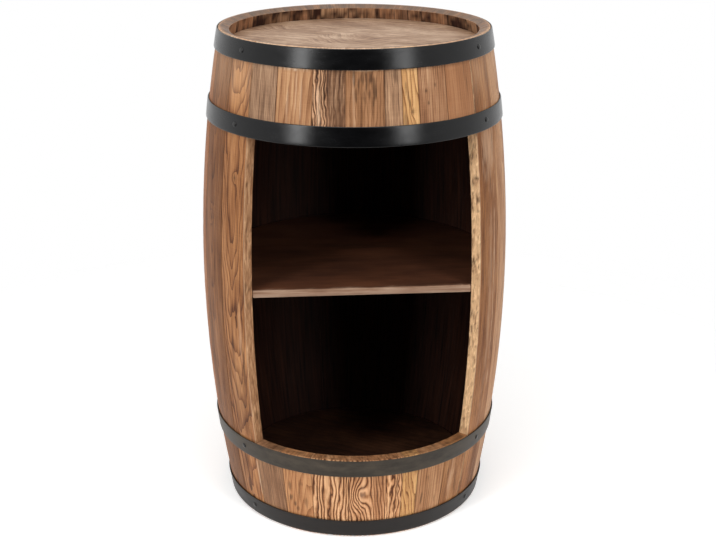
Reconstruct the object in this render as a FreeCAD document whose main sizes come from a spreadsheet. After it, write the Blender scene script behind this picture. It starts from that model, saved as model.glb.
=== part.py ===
import FreeCAD, Part
import math
import os
import Sketcher

# Barrel bar cabinet.
# A cask of bent staves with a doorway sawn out of its front, a head let into each end,
# one shelf on cleats, and four riveted hoops nailed to the staves.
# Millimetres, +Z up, the doorway faces -Y, the floor is Z = 0, and X = 0 and Y = 0 are the
# middles of the overall width and depth.
# Every body is drawn around the cask's axis with its origin at half height, in the plane
# of local X and Z, and is then turned about Z to its place. A height is measured from
# that middle, and an azimuth from -Y towards +X.

doc = FreeCAD.newDocument("barrel_bar_cabinet")

SIZES = (
    # the cask
    ("barrel_height", 810.0),
    ("end_radius", 217.5),
    ("bilge_radius", 255.5),
    ("stave_thickness", 18.0),
    ("chime_land", 5.0),
    ("chime_angle", 22.0),
    # widths of the staves, as shares of the arc that they fill
    ("wide_share", 15.5),
    ("plain_share", 13.0),
    ("slim_share", 7.0),
    # the doorway
    ("doorway_angle", 94.0),
    # hoops
    ("hoop_width", 30.0),
    ("hoop_gauge", 2.0),
    ("hoop_fit", 0.2),
    ("top_hoop_setback", 1.0),
    ("bottom_hoop_rise", 3.0),
    ("upper_hoop_drop", 112.0),
    ("lower_hoop_rise", 122.0),
    ("hoop_lap", 58.0),
    ("rivet_radius", 5.0),
    ("rivet_height", 2.0),
    # heads
    ("head_thickness", 18.0),
    ("head_recess", 23.0),
    ("head_tongue", 10.0),
    ("head_bevel", 24.0),
    ("head_face_bevel", 12.0),
    ("head_face_drop", 2.0),
    ("croze_depth", 6.0),
    ("head_fit", 0.3),
    # shelf and cleats
    ("shelf_top", 418.0),
    ("shelf_thickness", 12.0),
    ("shelf_edge_round", 2.0),
    ("shelf_gap", 0.3),
    ("cleat_gap", 0.2),
    ("cleat_height", 25.0),
    ("cleat_depth", 20.0),
    ("cleat_length", 50.0),
    ("cleat_bevel", 5.0),
    ("cleat_nail_spread", 24.0),
    # nails
    ("nail_head_radius", 4.0),
    ("nail_head_height", 1.6),
    ("nail_width", 3.0),
    ("nail_grip", 8.0),
    ("nail_fit", 0.1),
)

# Order of the stave widths above the doorway, below it and around the closed wall, all
# counted anticlockwise as seen from above. The short staves above and below the doorway
# come from different stock, so their joints don't line up.
UPPER_RUN = ("plain", "wide", "plain", "wide", "slim", "slim", "plain", "wide")
LOWER_RUN = ("plain", "plain", "wide", "wide", "slim", "slim", "plain", "plain")
WALL_RUN = (
    "plain", "wide", "wide", "plain", "wide", "wide",
    "slim", "wide", "plain", "plain", "wide", "slim",
    "wide", "wide", "wide", "wide", "wide", "plain",
)
# Flat strokes that round off the back of a stave.
BACK_STROKES = 3
# Flats that a hoop is rounded into, and sides of the heads of nails and rivets.
HOOP_FLATS = 72
FASTENER_SIDES = 8
# Wall staves beside the doorway, which take the hoop nails.
NAILED_STAVES = (0, 17)
# Wall staves that carry a cleat under the shelf.
CLEAT_STAVES = {"right": 2, "rear_right": 7, "rear_left": 10, "left": 15}

# ------------------------------------------------------------------ sheet and sketch tools

dims = doc.addObject("Spreadsheet::Sheet", "dims")
for row, (alias, size) in enumerate(SIZES, start=1):
    dims.set("A%d" % row, alias)
    dims.set("B%d" % row, str(size))
    dims.setAlias("B%d" % row, alias)
doc.recompute()


def value(formula):
    """Number that a formula has now, for a sketch's first guess."""
    return float(dims.evalExpression(formula))


def fix_point(sketch, element, end, across, up):
    """Hold one end of a sketch element at two formulas, measured from the sketch origin."""
    for kind, formula in (("DistanceX", across), ("DistanceY", up)):
        index = sketch.addConstraint(
            Sketcher.Constraint(kind, -1, 1, element, end, value(formula)))
        sketch.setExpression("Constraints[%d]" % index, formula)


def end_at(sketch, element, point):
    """Which end of a sketch element, 1 or 2, lies at a point."""
    start = sketch.Geometry[element].StartPoint
    finish = sketch.Geometry[element].EndPoint
    return 1 if start.distanceToPoint(point) < finish.distanceToPoint(point) else 2


def draw_loop(sketch, corners):
    """Add a closed outline through the corners, each a pair of formulas.

    A corner may also carry a radius and a side: the stretch from it to the next corner is
    then an arc that bulges to that side (1 right, -1 left) of the way that it runs.
    """
    first = sketch.GeometryCount
    points = [FreeCAD.Vector(value(corner[0]), value(corner[1]), 0) for corner in corners]
    for index, corner in enumerate(corners):
        start = points[index]
        finish = points[(index + 1) % len(points)]
        if len(corner) == 2:
            sketch.addGeometry(Part.LineSegment(start, finish))
            continue
        radius = value(corner[2])
        side = corner[3]
        chord = finish - start
        sagitta = radius - math.sqrt(radius ** 2 - (chord.Length / 2) ** 2)
        outward = FreeCAD.Vector(chord.y, -chord.x, 0).normalize() * side
        crown = start + chord * 0.5 + outward * sagitta
        ends = (start, finish) if side > 0 else (finish, start)
        sketch.addGeometry(Part.Arc(ends[0], crown, ends[1]))
    for index, corner in enumerate(corners):
        following = (index + 1) % len(corners)
        element = first + index
        start_end = end_at(sketch, element, points[index])
        next_start = end_at(sketch, first + following, points[following])
        sketch.addConstraint(Sketcher.Constraint(
            "Coincident", element, 3 - start_end, first + following, next_start))
        fix_point(sketch, element, start_end, corner[0], corner[1])
        if len(corner) == 4:
            bend = sketch.addConstraint(
                Sketcher.Constraint("Radius", element, value(corner[2])))
            sketch.setExpression("Constraints[%d]" % bend, corner[2])


def plane_of(body, role):
    for feature in body.Origin.OriginFeatures:
        if feature.Role == role:
            return feature
    raise RuntimeError("no plane " + role)


def body_sketch(body, name, *outlines, role="XZ_Plane"):
    """Sketch of one or more closed outlines on one of the body's own planes."""
    sketch = body.newObject("Sketcher::SketchObject", name)
    sketch.AttachmentSupport = (plane_of(body, role), [""])
    sketch.MapMode = "FlatFace"
    for corners in outlines:
        draw_loop(sketch, corners)
    sketch.Visibility = False
    return sketch


def revolve(body, sketch):
    """Turn a sketch once round the cask's axis."""
    feature = body.newObject("PartDesign::Revolution", sketch.Name + "_turned")
    feature.Profile = sketch
    feature.ReferenceAxis = (sketch, ["V_Axis"])
    feature.Angle = 360
    return feature


def pad(body, sketch, length, midplane=True):
    feature = body.newObject("PartDesign::Pad", sketch.Name + "_pad")
    feature.Profile = sketch
    feature.Midplane = midplane
    feature.setExpression("Length", length)
    return feature


def pocket(body, sketch):
    """Cut right through the body, to both sides of the sketch plane."""
    feature = body.newObject("PartDesign::Pocket", sketch.Name + "_cut")
    feature.Profile = sketch
    feature.Type = "ThroughAll"
    feature.Midplane = True
    return feature


def ring_place(azimuth):
    """Placement on the cask's axis at half height, whose local X points at the azimuth."""
    return ("placement(vector(0; %s; dims.barrel_height / 2);"
            " rotation(vector(0; 0; 1); (%s) - 90))" % (AXIS_Y, azimuth))


def moved(place, across="0", along="0", up="0"):
    """A placement moved along its own axes."""
    return ("%s * placement(vector(%s; %s; %s); rotation(vector(0; 0; 1); 0))"
            % (place, across, along, up))


def new_body(name, azimuth="90"):
    body = doc.addObject("PartDesign::Body", name + "_body")
    body.Label = name
    body.setExpression("Placement", ring_place(azimuth))
    return body


# ------------------------------------------------------------------------- barrel geometry

HALF = "(dims.barrel_height / 2)"
THICK = "dims.stave_thickness"
SWELL = "(dims.bilge_radius - dims.end_radius)"
BEND = "((%s^2 + %s^2) / (2 * %s))" % (HALF, SWELL, SWELL)
# Where a cut ends that has to run clear of the cask's wall or of its ends.
OUTSIDE = "(dims.bilge_radius + %s)" % THICK
BEYOND = "(%s + %s)" % (HALF, THICK)


def outer_at(height, depth="0"):
    """Formula for the distance from the axis to the flat of a stave, or to a depth in it."""
    bend = "(%s - %s)" % (BEND, depth)
    return "(dims.bilge_radius - %s + sqrt(%s^2 - (%s)^2))" % (BEND, bend, height)


def inner_at(height):
    """Formula for the distance from the axis to the inner flat of a stave."""
    return outer_at(height, THICK)


HOOPS = {
    "top_hoop": (HALF + " - dims.top_hoop_setback - dims.hoop_width",
                 HALF + " - dims.top_hoop_setback"),
    "upper_hoop": (HALF + " - dims.upper_hoop_drop - dims.hoop_width",
                   HALF + " - dims.upper_hoop_drop"),
    "lower_hoop": ("dims.lower_hoop_rise - " + HALF,
                   "dims.lower_hoop_rise + dims.hoop_width - " + HALF),
    "bottom_hoop": ("dims.bottom_hoop_rise - " + HALF,
                    "dims.bottom_hoop_rise + dims.hoop_width - " + HALF),
}
# The doorway runs from the top edge of the lower hoop to the lower edge of the upper hoop.
DOORWAY_SILL = HOOPS["lower_hoop"][1]
DOORWAY_TOP = HOOPS["upper_hoop"][0]

HEAD_TOP = HALF + " - dims.head_recess"
HEAD_SEAT = HEAD_TOP + " - dims.head_tongue"
FLOOR_SEAT = "dims.head_recess - " + HALF
FLOOR_TOP = FLOOR_SEAT + " + dims.head_tongue"
CROZE_DEPTH = "(%s + dims.croze_depth)" % inner_at(HEAD_SEAT)
BEVEL_DROP = "((dims.head_thickness - dims.head_tongue) / dims.head_bevel)"

SHELF_TOP = "(dims.shelf_top - %s)" % HALF
SHELF_UNDER = SHELF_TOP + " - dims.shelf_thickness"
CLEAT_TOP = SHELF_UNDER
CLEAT_UNDER = CLEAT_TOP + " - dims.cleat_height"
CLEAT_MIDDLE = "(%s - dims.cleat_height / 2)" % CLEAT_TOP
CLEAT_BACK = "(%s - dims.cleat_gap)" % inner_at(CLEAT_UNDER)
CLEAT_FACE = "(%s - dims.cleat_depth)" % CLEAT_BACK


def share_sum(names):
    """Formula for the width of some staves together, in shares."""
    return " + ".join("dims.%s_share" % name for name in names) or "0"


def stave_arcs(run, start, span):
    """Azimuth of the middle, and angular width, of each stave of a run, as formulas."""
    arcs = []
    for index, name in enumerate(run):
        share = "dims.%s_share" % name
        before = share_sum(run[:index])
        step = "(%s) / (%s)" % (span, share_sum(run))
        middle = "%s + (%s + %s / 2) * %s" % (start, before, share, step)
        arcs.append((middle, "%s * %s" % (share, step)))
    return arcs


UPPER_ARCS = stave_arcs(UPPER_RUN, "-dims.doorway_angle / 2", "dims.doorway_angle")
LOWER_ARCS = stave_arcs(LOWER_RUN, "-dims.doorway_angle / 2", "dims.doorway_angle")
WALL_ARCS = stave_arcs(WALL_RUN, "dims.doorway_angle / 2", "360 - dims.doorway_angle")
WIDEST = "max(%s; %s; %s)" % (WALL_ARCS[WALL_RUN.index("wide")][1],
                              UPPER_ARCS[UPPER_RUN.index("wide")][1],
                              LOWER_ARCS[LOWER_RUN.index("wide")][1])


def corner_at(height):
    """Formula for the distance from the axis to the ridges on the widest stave's back."""
    return "(%s / cos(%s / (2 * %d)))" % (outer_at(height), WIDEST, BACK_STROKES)


def hoop_ridge(height, layers="1"):
    """Formula for the radius of a hoop's ridges, some gauges out from the staves."""
    return "((%s + dims.hoop_fit + %s * dims.hoop_gauge) / cos(180 / %d))" % (
        corner_at(height), layers, HOOP_FLATS)


# The doorway leaves the hoops as the foremost pieces and the bilge as the rearmost.
AXIS_Y = "((%s - dims.bilge_radius) / 2)" % hoop_ridge(DOORWAY_SILL)


# ----------------------------------------------------------------------------------- nails


def out_of_wall(azimuth, radius, height, lean):
    """Placement on a wall whose local Z leaves the cask, climbing at the angle lean."""
    return ("%s * placement(vector(%s; 0; %s); rotation(vector(0; 1; 0); 90 deg - (%s)))"
            % (ring_place(azimuth), radius, height, lean))


def hoop_face(hoop, layers="1"):
    """Middle of a hoop's face: its radius at the ridges, its height, and its lean."""
    low, high = HOOPS[hoop]
    radius = "((%s + %s) / 2)" % (hoop_ridge(low, layers), hoop_ridge(high, layers))
    lean = "atan((%s - %s) / dims.hoop_width)" % (hoop_ridge(low), hoop_ridge(high))
    return radius, "(%s + %s) / 2" % (low, high), lean


def nail_shank(name, place, length, fit="0"):
    """Square shank that runs in from the local origin; a fit makes it a hole's cutter."""
    shank = doc.addObject("Part::Box", name)
    width = "dims.nail_width + 2 * (%s)" % fit
    depth = "%s + %s" % (length, fit)
    shank.setExpression("Length", width)
    shank.setExpression("Width", width)
    shank.setExpression("Height", "%s + %s" % (depth, fit))
    shank.setExpression("Placement", moved(
        place, "-(%s) / 2" % width, "-(%s) / 2" % width, "-(%s)" % depth))
    return shank


def fastener_head(name, place, radius, height):
    """Many-sided head that stands on the local origin."""
    head = doc.addObject("Part::Prism", name)
    head.Polygon = FASTENER_SIDES
    head.setExpression("Circumradius", radius)
    head.setExpression("Height", height)
    head.setExpression("Placement", place)
    return head


def make_nail(name, place, length):
    """Nail with its head on the local origin and its shank running in."""
    nail = doc.addObject("Part::Fuse", name)
    nail.Base = fastener_head(name + "_head", place,
                              "dims.nail_head_radius", "dims.nail_head_height")
    nail.Tool = nail_shank(name + "_shank", place, length)
    return nail


def group(name, pieces):
    """Identical pieces as separate solids of one node."""
    node = doc.addObject("Part::Compound", name)
    node.Links = pieces
    return node


def bore(body, cutters):
    """Node made of a body with holes where the cutters are."""
    name = body.Label
    body.Label = name + " blank"
    node = doc.addObject("Part::Cut", name)
    node.Label = name
    node.Base = body
    node.Tool = group(name + "_cutters", cutters)
    return node


CLEAT_NAIL_SIDES = (-1, 1)
HOOP_NAIL_LENGTH = "dims.hoop_gauge + dims.hoop_fit + dims.nail_grip"
CLEAT_NAIL_LENGTH = "dims.cleat_depth + dims.cleat_gap + dims.nail_grip"


def hoop_nail_place(hoop, index):
    return out_of_wall(WALL_ARCS[index][0], *hoop_face(hoop))


def cleat_nail_place(index, side):
    """Placement on a cleat's inner face whose local Z points at the cask's axis."""
    return ("%s * placement(vector(0; %d * dims.cleat_nail_spread / 2; 0);"
            " rotation(vector(0; 1; 0); 180))"
            % (out_of_wall(WALL_ARCS[index][0], CLEAT_FACE, CLEAT_MIDDLE, "0 deg"), side))


def cleat_cutters(name, index):
    """Cutters for the two nails of a cleat."""
    return [nail_shank("%s_cleat_cutter_%d" % (name, number), cleat_nail_place(index, side),
                       CLEAT_NAIL_LENGTH, "dims.nail_fit")
            for number, side in enumerate(CLEAT_NAIL_SIDES, start=1)]


# ---------------------------------------------------------------------------------- staves


def croze_ledge(seat):
    """Height of a croze's lower side, clear of the bevel that goes down from the seat."""
    under = "%s - dims.head_thickness + dims.head_tongue" % seat
    lip = "min(%s; %s)" % (inner_at(seat), inner_at(under))
    return "(%s - dims.head_fit - (%s - %s) * %s)" % (seat, CROZE_DEPTH, lip, BEVEL_DROP)


def stave_side():
    """Side outline of a bent stave, with a chime and a croze at both ends."""
    slope = "tan(dims.chime_angle)"
    land = "(dims.end_radius - dims.chime_land)"
    rim = "(dims.end_radius - %s)" % THICK
    rim_height = "(%s - (%s - %s) * %s)" % (HALF, land, rim, slope)
    upper_lip = "(%s + dims.head_fit)" % HEAD_TOP
    upper_ledge = croze_ledge(HEAD_SEAT)
    lower_lip = "(%s + dims.head_fit)" % FLOOR_TOP
    lower_ledge = croze_ledge(FLOOR_SEAT)
    inner_bend = "%s - %s" % (BEND, THICK)
    return (
        ("dims.end_radius", "-" + HALF, BEND, 1),
        ("dims.end_radius", HALF),
        (land, HALF),
        (rim, rim_height),
        (inner_at(upper_lip), upper_lip),
        (CROZE_DEPTH, upper_lip),
        (CROZE_DEPTH, upper_ledge),
        (inner_at(upper_ledge), upper_ledge, inner_bend, -1),
        (inner_at(lower_lip), lower_lip),
        (CROZE_DEPTH, lower_lip),
        (CROZE_DEPTH, lower_ledge),
        (inner_at(lower_ledge), lower_ledge),
        (rim, "-" + rim_height),
        (land, "-" + HALF),
    )


def joint_waste(width):
    """Waste outside the radial planes where a stave meets its two neighbours."""
    inside = "(dims.end_radius / 2)"
    lean = " * tan(%s / 2)" % width
    return tuple((
        (inside, sign + inside + lean),
        (OUTSIDE, sign + OUTSIDE + lean),
        (OUTSIDE, sign + "2 * " + OUTSIDE + lean),
        (inside, sign + "2 * " + OUTSIDE + lean),
    ) for sign in ("", "-"))


def back_waste():
    """Waste outside the bend of the cask, past both ends of a stave."""
    return (
        (outer_at(BEYOND), "-" + BEYOND, BEND, 1),
        (outer_at(BEYOND), BEYOND),
        (OUTSIDE, BEYOND),
        (OUTSIDE, "-" + BEYOND),
    )


def make_stave(name, middle, width):
    """Bent stave: sawn to its side outline, jointed on both edges, its back rounded off.

    The back is rounded by shaving both sides of the middle stroke at an angle.
    """
    body = new_body(name, middle)
    side = body_sketch(body, name + "_side", stave_side())
    pad(body, side, "2 * %s * tan(%s / 2)" % (OUTSIDE, width))
    pocket(body, body_sketch(body, name + "_joints", *joint_waste(width), role="XY_Plane"))
    for turn in (-1, 1):
        stroke = body_sketch(body, "%s_back_%d" % (name, turn + 2), back_waste())
        stroke.setExpression("AttachmentOffset", "placement(vector(0; 0; 0);"
                             " rotation(vector(0; 1; 0); %d * %s / %d))"
                             % (turn, width, BACK_STROKES))
        pocket(body, stroke)
    return body


def saw_off(body, low, high):
    """Saw away what the stave has between two heights."""
    pocket(body, body_sketch(body, body.Label + "_saw", (
        (THICK, low), (OUTSIDE, low), (OUTSIDE, high), (THICK, high))))


def make_wall_staves():
    """Full-length staves of the closed wall, with holes where nails go in."""
    nodes = []
    for index, (middle, width) in enumerate(WALL_ARCS):
        name = "wall_stave_%02d" % (index + 1)
        body = make_stave(name, middle, width)
        cutters = []
        if index in NAILED_STAVES:
            for hoop in HOOPS:
                cutters.append(nail_shank("%s_%s_cutter" % (name, hoop),
                                          hoop_nail_place(hoop, index),
                                          HOOP_NAIL_LENGTH, "dims.nail_fit"))
        if index in CLEAT_STAVES.values():
            cutters.extend(cleat_cutters(name, index))
        nodes.append(bore(body, cutters) if cutters else body)
    return nodes


def make_short_staves(band, arcs, cut_from, cut_to):
    """Staves of the band above or below the doorway, sawn off at the doorway's edge."""
    nodes = []
    for index, (middle, width) in enumerate(arcs):
        body = make_stave("%s_front_stave_%d" % (band, index + 1), middle, width)
        saw_off(body, cut_from, cut_to)
        nodes.append(body)
    return nodes


# ----------------------------------------------------------------------------------- hoops

LAP_AZIMUTH = "180"
RIVET_SIDES = (-1, 1)
# A rivet starts halfway through the lapped end, in gauges out from the staves.
RIVET_ROOT = "1.5"


def hoop_cone(hoop, layers):
    """Solid tapered drum that ends at a hoop's edges, some gauges out from the staves."""
    rings = []
    for number, height in enumerate(HOOPS[hoop], start=1):
        ring = doc.addObject("Part::RegularPolygon", "%s_ring_%d_%d" % (hoop, layers, number))
        ring.Polygon = HOOP_FLATS
        ring.setExpression("Circumradius", hoop_ridge(height, layers))
        ring.setExpression("Placement", moved(ring_place(LAP_AZIMUTH), up=height))
        rings.append(ring)
    drum = doc.addObject("Part::Loft", "%s_drum_%d" % (hoop, layers))
    drum.Sections = rings
    drum.Solid = True
    drum.Ruled = True
    return drum


def hoop_layer(inside, outside):
    """Band of one gauge between two drums."""
    band = doc.addObject("Part::Cut", outside.Name + "_band")
    band.Base = outside
    band.Tool = inside
    return band


def make_hoop(hoop):
    """Steel band whose ends lap at the back under two rivets, with its nail holes."""
    drums = [hoop_cone(hoop, layers) for layers in range(3)]
    reach = doc.addObject("Part::Box", hoop + "_lap_reach")
    reach.setExpression("Length", hoop_ridge(HOOPS[hoop][0], 3))
    reach.setExpression("Width", "dims.hoop_lap")
    reach.setExpression("Height", "dims.hoop_width")
    reach.setExpression("Placement", moved(
        ring_place(LAP_AZIMUTH), along="-dims.hoop_lap / 2", up=HOOPS[hoop][0]))
    lap = doc.addObject("Part::Common", hoop + "_lap")
    lap.Base = hoop_layer(drums[1], drums[2])
    lap.Tool = reach
    riveted = doc.addObject("Part::MultiFuse", hoop + "_riveted")
    riveted.Label = hoop
    pieces = [hoop_layer(drums[0], drums[1]), lap]
    for number, side in enumerate(RIVET_SIDES, start=1):
        place = moved(out_of_wall(LAP_AZIMUTH, *hoop_face(hoop, RIVET_ROOT)),
                      along="%d * dims.hoop_lap / 4" % side)
        pieces.append(fastener_head("%s_rivet_%d" % (hoop, number), place, "dims.rivet_radius",
                                    "dims.rivet_height + dims.hoop_gauge / 2"))
    riveted.Shapes = pieces
    cutters = []
    for index in NAILED_STAVES:
        cutters.append(nail_shank("%s_cutter_%02d" % (hoop, index + 1),
                                  hoop_nail_place(hoop, index),
                                  HOOP_NAIL_LENGTH, "dims.nail_fit"))
    return bore(riveted, cutters)


# ----------------------------------------------------------------------------------- heads


def make_head(name, seat, top):
    """Round board whose edge, bevelled on both sides, sits in the croze of the staves.

    The small bevel on top ends inside the rim, so that what lies on the board clears it.
    """
    body = new_body(name)
    radius = CROZE_DEPTH + " - dims.head_fit"
    under = top + " - dims.head_thickness"
    revolve(body, body_sketch(body, name + "_section", (
        ("0", under),
        (radius + " - dims.head_bevel", under),
        (radius, seat),
        (radius, top + " - dims.head_face_drop"),
        (radius + " - dims.head_face_bevel", top),
        ("0", top),
    )))
    return body


# ------------------------------------------------------------------------- shelf and cleats


def make_cleat(side, index):
    """Block under the shelf, nailed to the flat of one stave, with its lower edge bevelled."""
    name = side + "_cleat"
    body = new_body(name, WALL_ARCS[index][0])
    section = body_sketch(body, name + "_section", (
        (CLEAT_FACE + " + dims.cleat_bevel", CLEAT_UNDER),
        (CLEAT_BACK, CLEAT_UNDER),
        (CLEAT_BACK, CLEAT_TOP),
        (CLEAT_FACE, CLEAT_TOP),
        (CLEAT_FACE, CLEAT_UNDER + " + dims.cleat_bevel"),
    ))
    pad(body, section, "dims.cleat_length")
    return bore(body, cleat_cutters(name, index))


# What a straight edge of the shelf's front has to be longer by than its upright edges, mm.
LEAST_STEP = 1.0


def make_shelf():
    """Round shelf whose straight front joins the inner corners of the doorway."""
    body = new_body("shelf")
    radius = "(%s - dims.shelf_gap)" % inner_at(SHELF_TOP)
    corner_across = "%s * sin(dims.doorway_angle / 2)" % radius
    front = "-%s * cos(dims.doorway_angle / 2)" % radius
    outline = body_sketch(body, "shelf_outline", (
        ("-" + corner_across, front),
        (corner_across, front, radius, 1),
        ("0", radius, radius, 1),
    ), role="XY_Plane")
    outline.setExpression("AttachmentOffset.Base.z", SHELF_UNDER)
    board = pad(body, outline, "dims.shelf_thickness", midplane=False)
    doc.recompute()
    front_edges = []
    for number, edge in enumerate(board.Shape.Edges, start=1):
        straight = isinstance(edge.Curve, Part.Line)
        if straight and edge.Length > value("dims.shelf_thickness") + LEAST_STEP:
            front_edges.append("Edge%d" % number)
    eased = body.newObject("PartDesign::Fillet", "shelf_front_round")
    eased.Base = (board, front_edges)
    eased.setExpression("Radius", "dims.shelf_edge_round")
    return body


def make_nails():
    """Nails of the hoops and of the cleats, each kind as one node."""
    hoop_nails = []
    for hoop in HOOPS:
        for index in NAILED_STAVES:
            hoop_nails.append(make_nail("%s_nail_%02d" % (hoop, index + 1),
                                        hoop_nail_place(hoop, index), HOOP_NAIL_LENGTH))
    cleat_nails = []
    for cleat, index in CLEAT_STAVES.items():
        for number, side in enumerate(CLEAT_NAIL_SIDES, start=1):
            cleat_nails.append(make_nail("%s_nail_%d" % (cleat, number),
                                         cleat_nail_place(index, side), CLEAT_NAIL_LENGTH))
    return [group("hoop_nails", hoop_nails), group("cleat_nails", cleat_nails)]


# --------------------------------------------------------------------- build, check, write


# Cubic millimetres that the smallest cut takes away.
LEAST_CUT = 1.0


def check_document():
    """Stop at a feature that failed or at a cut that took nothing away."""
    for item in doc.Objects:
        if "Invalid" in item.State or "Error" in item.State:
            raise RuntimeError("%s: %s" % (item.Name, item.getStatusString()))
        before = None
        if item.TypeId == "PartDesign::Pocket":
            before = item.BaseFeature.Shape.Volume
        if item.TypeId == "Part::Cut":
            before = item.Base.Shape.Volume
        if before is not None and before - item.Shape.Volume < LEAST_CUT:
            raise RuntimeError("%s cuts nothing" % item.Name)


def write_nodes(nodes):
    os.makedirs("parts", exist_ok=True)
    for node in nodes:
        if node.Shape.isNull() or not node.Shape.isValid():
            raise RuntimeError("%s has no valid shape" % node.Label)
        node.Shape.exportStep("parts/%s.step" % node.Label)


nodes = make_wall_staves()
nodes.extend(make_short_staves("upper", UPPER_ARCS, "-" + BEYOND, DOORWAY_TOP))
nodes.extend(make_short_staves("lower", LOWER_ARCS, DOORWAY_SILL, BEYOND))
nodes.extend(make_hoop(hoop) for hoop in HOOPS)
nodes.append(make_head("top_head", HEAD_SEAT, HEAD_TOP))
nodes.append(make_head("floor_board", FLOOR_SEAT, FLOOR_TOP))
nodes.append(make_shelf())
nodes.extend(make_cleat(side, index) for side, index in CLEAT_STAVES.items())
nodes.extend(make_nails())
doc.recompute()
check_document()
write_nodes(nodes)
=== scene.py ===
"""Looks of the barrel bar cabinet: staves, hoops, heads and shelf over the CAD frame."""
import math

import bpy
import numpy as np
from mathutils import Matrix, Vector


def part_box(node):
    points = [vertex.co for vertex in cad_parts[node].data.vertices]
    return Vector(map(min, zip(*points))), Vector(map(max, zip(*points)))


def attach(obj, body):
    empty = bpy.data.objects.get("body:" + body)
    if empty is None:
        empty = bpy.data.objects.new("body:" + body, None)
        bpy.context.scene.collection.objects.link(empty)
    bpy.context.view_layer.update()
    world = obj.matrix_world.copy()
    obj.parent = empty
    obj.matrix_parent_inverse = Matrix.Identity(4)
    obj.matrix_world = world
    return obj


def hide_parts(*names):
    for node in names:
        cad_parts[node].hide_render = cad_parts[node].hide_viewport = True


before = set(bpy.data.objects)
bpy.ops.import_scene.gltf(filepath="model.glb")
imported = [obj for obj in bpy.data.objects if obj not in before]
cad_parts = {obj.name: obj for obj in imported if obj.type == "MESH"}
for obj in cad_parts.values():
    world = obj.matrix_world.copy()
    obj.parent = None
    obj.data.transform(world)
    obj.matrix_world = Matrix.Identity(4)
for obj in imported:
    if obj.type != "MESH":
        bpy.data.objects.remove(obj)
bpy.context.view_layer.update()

MM = 0.001
WHOLE_TURN = 2 * math.pi

# ---- sizes of the cask, mm

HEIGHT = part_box("wall_stave_01")[1].z / MM
HALF = HEIGHT / 2
BILGE_RADIUS = 255.5
END_RADIUS = 217.5
THICKNESS = 18.0
CHIME_LAND = 5.0
CHIME_SLOPE = math.tan(math.radians(22))
SWELL = BILGE_RADIUS - END_RADIUS
BEND = (HALF ** 2 + SWELL ** 2) / (2 * SWELL)
HEAD_LOW, HEAD_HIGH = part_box("top_head")
AXIS_Y = (HEAD_LOW.y + HEAD_HIGH.y) / 2 / MM
AXIS = np.array([0, AXIS_Y])

# Half the gap at a joint, and how deep and wide the eased edges of a stave are.
JOINT_GAP = 0.12
EASE_DEPTH = 0.8
EASE_WIDTH = 1.6
HOOP_GAUGE = 2.0
HOOP_CLEARANCE = 0.4


def wall_radius(height, depth=0.0):
    """Distance from the axis to a stave's back, or to a depth in it, at a height."""
    level = height - HALF
    return BILGE_RADIUS - BEND + np.sqrt((BEND - depth) ** 2 - level ** 2)


def around(azimuth, radius, height):
    """Points in metres, from an azimuth in radians that runs from -Y towards +X."""
    x = radius * np.sin(azimuth)
    y = AXIS_Y - radius * np.cos(azimuth)
    return np.stack(np.broadcast_arrays(x, y, height), axis=-1) * MM


def levels(node):
    """Lowest and highest level of a CAD node, in mm."""
    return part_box(node)[0].z / MM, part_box(node)[1].z / MM


# ---- noise and wood

TABLE_SIZE = 128
OCTAVE_SHIFT = (17, 31)


class Noise:
    """Smooth repeatable noise over a plane, from -1 to 1."""

    def __init__(self, seed):
        self.table = np.random.default_rng(seed).random((TABLE_SIZE, TABLE_SIZE)) * 2 - 1

    def single(self, x, y):
        x, y = np.broadcast_arrays(np.asarray(x, float), np.asarray(y, float))
        left, low = np.floor(x).astype(int), np.floor(y).astype(int)
        across, up = x - left, y - low
        across = across * across * (3 - 2 * across)
        up = up * up * (3 - 2 * up)
        right, high = (left + 1) % TABLE_SIZE, (low + 1) % TABLE_SIZE
        left, low = left % TABLE_SIZE, low % TABLE_SIZE
        bottom = self.table[left, low] * (1 - across) + self.table[right, low] * across
        top = self.table[left, high] * (1 - across) + self.table[right, high] * across
        return bottom * (1 - up) + top * up

    def __call__(self, x, y, octaves=3):
        total, size, weight = 0.0, 1.0, 0.0
        shift_x, shift_y = OCTAVE_SHIFT
        for octave in range(octaves):
            layer = self.single(x / size + shift_x * octave, y / size + shift_y * octave)
            total += layer * size
            weight += size
            size /= 2
        return total / weight


def smooth_step(value, low, high):
    share = np.clip((value - low) / (high - low), 0, 1)
    return share * share * (3 - 2 * share)


def near_edge(distance, width):
    """1 at an edge, falling to 0 at a width from it."""
    return np.clip(1 - distance / width, 0, 1) ** 2


# One kind of sawn wood. Sizes are in millimetres, measured across the stave from its middle
# and up from the floor. The rings are cones round a pith that lies behind the surface.
PLAIN_WOOD = {
    "tint": (1.0, 1.0, 1.0),
    "taper": 0.02,  # of the cones
    "wave": (0.5, 16.0, 150.0),  # how many rings they wander, over which width and height
    "sharp": 1.0,  # above 1 the grooves are narrower
    "knots": (),  # place, level, size
    "knot_dark": 0.9,
    "swirl": 2.0,  # rings that a knot pushes aside
    "smudges": (),  # dark patches: place, level, half width, half height, strength
    "streaks": (),  # pale patches, given likewise
    "bold_to": 999.0,  # place up to which the rings show in full
    "bold_rest": 0.35,  # how much they show beyond it
    "soiled": 0.1,  # darkness near the floor
}
KNOT_STRETCH = 1.7


def wood(palette, pith, spacing, groove, **changes):
    """A kind of wood: where its pith lies, how far its rings are apart and worn down."""
    given = {"palette": palette, "pith": pith, "spacing": spacing, "groove": groove}
    return {**PLAIN_WOOD, **given, **changes}


def knot_distance(across, height, knot):
    place, level, size = knot
    return np.hypot((across - place) / size, (height - level) / (KNOT_STRETCH * size))


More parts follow.
